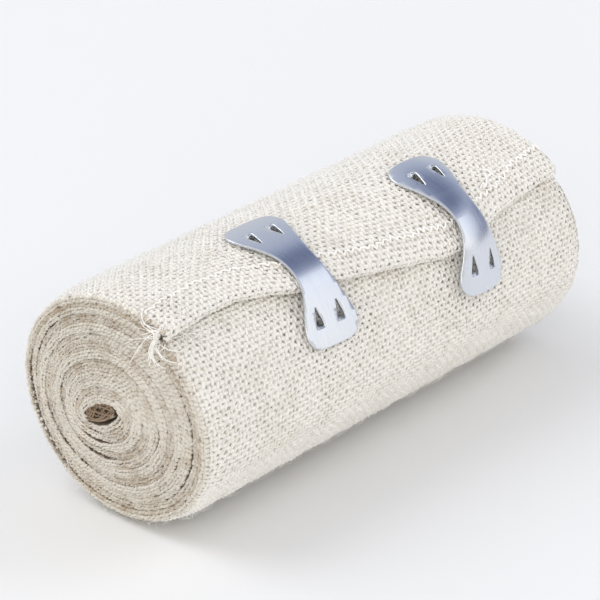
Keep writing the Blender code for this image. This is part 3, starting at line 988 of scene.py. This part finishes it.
class BANDAGE_OT_fibres(bpy.types.Operator):
    """Loose cotton fibres that stand off the cloth and blur its outline"""
    bl_idname = "bandage.fibres"
    bl_label = "Fibres"

    def execute(self, context):
        sizes = context.scene.bandage_sizes
        colours = context.scene.bandage_colours
        material = yarn_material("cotton fibre", colours.thread, colours.cotton, 0.00002)
        random = np.random.default_rng(33)
        count = sizes.fibres
        rings = 4
        t = np.linspace(0, 1, rings)[None, :]
        x = random.uniform(-49.8, 49.8, (count, 1))
        s = random.uniform(0, LAST_OUTER_TURN - 0.06, (count, 1))
        heading = random.uniform(0, FULL_TURN, (count, 1)) + random.uniform(-1.5, 1.5, (count, 1)) * t
        length = random.uniform(0.8, 2.6, (count, 1))
        height = random.uniform(0.15, 0.75, (count, 1)) * np.sin(t * random.uniform(1.6, 3.1, (count, 1)))
        x = np.clip(x + length * t * np.cos(heading), -50.3, 50.3)
        turn = s + length * MM * t * np.sin(heading) / TURN_LENGTH
        paths = cloth_point(x * MM, np.clip(turn, 0, 1.04), (0.1 + height) * MM)
        add_threads("fibres", paths, 0.032 * MM * (1 - 0.6 * t), 3, material)

        count = sizes.end_fibres
        side = np.where(np.arange(count) % 3, -1, 1)[:, None]
        turn = TURNS * (1 - random.uniform(0, 1, (count, 1)) ** 0.6) + 0 * t
        x = side * CLOTH_WIDTH / 2 + 0 * t
        angle = loose_angle(x, turn) + random.uniform(0, FULL_TURN, (count, 1))
        height = random.uniform(0.2, 1.4, (count, 1))[..., None] * MM
        section = inner_face(turn, angle) + outward(turn, angle) * height
        heading = random.uniform(0, FULL_TURN, (count, 1)) + random.uniform(-1.5, 1.5, (count, 1)) * t
        length = random.uniform(0.6, 1.8, (count, 1)) * MM * t
        section = section + np.stack([np.cos(heading), np.sin(heading)], -1) * length[..., None]
        paths = place_section(x, section)
        paths[..., 0] += side * (0.1 + random.uniform(0.1, 0.6, (count, 1)) * np.sin(2.4 * t)) * MM
        add_threads("end_fibres", paths, 0.035 * MM * (1 - 0.6 * t), 3, material, NEARLY_ALONG)
        return {"FINISHED"}


class BANDAGE_OT_core(bpy.types.Operator):
    """The crumpled start of the cloth, which fills the eye at both ends"""
    bl_idname = "bandage.core"
    bl_label = "Crumpled core"

    def execute(self, context):
        material = yarn_material("shaded cotton of the core", linear("#937B61"), linear("#493727"), 0.0001)
        random = np.random.default_rng(45)
        count = CORE_STRANDS
        rings = 26
        t = np.linspace(0, 1, rings)
        paths = np.empty((count, rings, 3))
        for i in range(count):
            side = -1 if i % 2 else 1
            phase = random.uniform(0, FULL_TURN, 3)
            pace = random.uniform(3, 9, 3)
            along = (EYE_HALF_LENGTH - 0.3 * MM) * np.sin(pace[0] * t + phase[0])
            across = CORE_HALF_HEIGHT * np.sin(pace[1] * t + phase[1])
            across = across * np.sqrt(1 - 0.8 * (along / EYE_HALF_LENGTH) ** 2)
            depth = (1.4 + 1.1 * np.sin(pace[2] * t + phase[2])) * MM
            section = np.stack(eye_place(along, across), -1)
            paths[i] = place_section(side * (CLOTH_WIDTH / 2 - depth), section)
        radius = random.uniform(0.1, 0.2, (count, 1)) * MM
        shades = strand_shade(np.arange(count), 46)
        add_threads("core", paths, radius, 5, material, NEARLY_ALONG, shades)
        return {"FINISHED"}


class BANDAGE_OT_stage(bpy.types.Operator):
    """Floor, lights and camera"""
    bl_idname = "bandage.stage"
    bl_label = "Stage"

    def execute(self, context):
        scene = context.scene
        scene.view_settings.view_transform = "Standard"
        bm = bmesh.new()
        bmesh.ops.create_grid(bm, x_segments=1, y_segments=1, size=3.0)
        mesh = bpy.data.meshes.new("floor")
        bm.to_mesh(mesh)
        bm.free()
        floor = link_object("floor", mesh)
        material, _, _ = new_material("matt white board", {
            "Base Color": (*linear("#EDEDED"), 1), "Roughness": 0.8})
        mesh.materials.append(material)
        world = bpy.data.worlds.new("soft room")
        world.use_nodes = True
        tree = world.node_tree
        direction = add_node(tree, "ShaderNodeTexCoord")
        shades = []
        for patch, stops in DIM_PATCHES:
            settings = {"operation": "DOT_PRODUCT", 1: Vector(patch).normalized()}
            near = add_node(tree, "ShaderNodeVectorMath", settings, {0: direction.outputs["Generated"]})
            ramp = add_node(tree, "ShaderNodeValToRGB", None, {"Fac": near.outputs["Value"]})
            ramp.color_ramp.interpolation = "EASE"
            elements = ramp.color_ramp.elements
            elements.remove(elements[1])
            elements[0].position = stops[0][0]
            elements[0].color = (*linear(stops[0][1]), 1)
            for position, colour in stops[1:]:
                elements.new(position).color = (*linear(colour), 1)
            shades.append(ramp.outputs["Color"])
        both = add_node(tree, "ShaderNodeMixRGB", {"blend_type": "MULTIPLY", "Fac": 1.0},
                        {"Color1": shades[0], "Color2": shades[1]})
        background = tree.nodes["Background"]
        background.inputs["Strength"].default_value = 0.8
        tree.links.new(both.outputs["Color"], background.inputs["Color"])
        scene.world = world
        for name, place, width, height, roll, watts, colour, mirrored in LIGHTS:
            light = bpy.data.lights.new(name, "AREA")
            light.shape = "RECTANGLE"
            light.size = width
            light.size_y = height
            light.energy = watts
            light.color = linear(colour)
            lamp = link_object(name, light)
            lamp.location = place
            lamp.visible_glossy = mirrored
            facing = (Vector((0, 0, 0.02)) - Vector(place)).to_track_quat("-Z", "Y")
            lamp.rotation_euler = (facing @ Quaternion((0, 0, 1), math.radians(roll))).to_euler()
        azimuth = math.radians(CAMERA_AZIMUTH)
        elevation = math.radians(CAMERA_ELEVATION)
        back = Vector((math.sin(azimuth) * math.cos(elevation), -math.cos(azimuth) * math.cos(elevation),
                       math.sin(elevation)))
        right = Vector((math.cos(azimuth), math.sin(azimuth), 0))
        up = back.cross(right)
        target = Vector((0, 0, CAMERA_TARGET_HEIGHT)) - right * CAMERA_ASIDE + up * CAMERA_RAISED
        data = bpy.data.cameras.new("camera")
        data.lens = CAMERA_LENS
        data.sensor_width = 36
        camera = link_object("camera", data)
        camera.location = target + back * CAMERA_DISTANCE
        camera.rotation_euler = back.to_track_quat("Z", "Y").to_euler()
        scene.camera = camera
        return {"FINISHED"}


OPERATORS = (
    BANDAGE_OT_stage,
    BANDAGE_OT_warp,
    BANDAGE_OT_weft,
    BANDAGE_OT_selvedges,
    BANDAGE_OT_clips,
    BANDAGE_OT_hem_stitching,
    BANDAGE_OT_loose_threads,
    BANDAGE_OT_fibres,
    BANDAGE_OT_core,
    BANDAGE_OT_wound_cloth,
)


class BANDAGE_PT_panel(bpy.types.Panel):
    bl_idname = "BANDAGE_PT_panel"
    bl_label = "Crepe Bandage Roll"
    bl_space_type = "VIEW_3D"
    bl_region_type = "UI"
    bl_category = "Bandage"

    def draw(self, context):
        for operator in OPERATORS:
            self.layout.operator(operator.bl_idname)


CLASSES = (BandageSizes, BandageColours, *OPERATORS, BANDAGE_PT_panel)


def register():
    for cls in CLASSES:
        bpy.utils.register_class(cls)
    bpy.types.Scene.bandage_sizes = PointerProperty(type=BandageSizes)
    bpy.types.Scene.bandage_colours = PointerProperty(type=BandageColours)


def unregister():
    del bpy.types.Scene.bandage_colours
    del bpy.types.Scene.bandage_sizes
    for cls in reversed(CLASSES):
        bpy.utils.unregister_class(cls)


def main():
    register()
    bpy.ops.bandage.stage()
    bpy.ops.bandage.warp()
    bpy.ops.bandage.weft()
    bpy.ops.bandage.selvedges()
    bpy.ops.bandage.clips()
    bpy.ops.bandage.hem_stitching()
    bpy.ops.bandage.loose_threads()
    bpy.ops.bandage.fibres()
    bpy.ops.bandage.core()
    bpy.ops.bandage.wound_cloth()


if __name__ == "__main__":
    main()
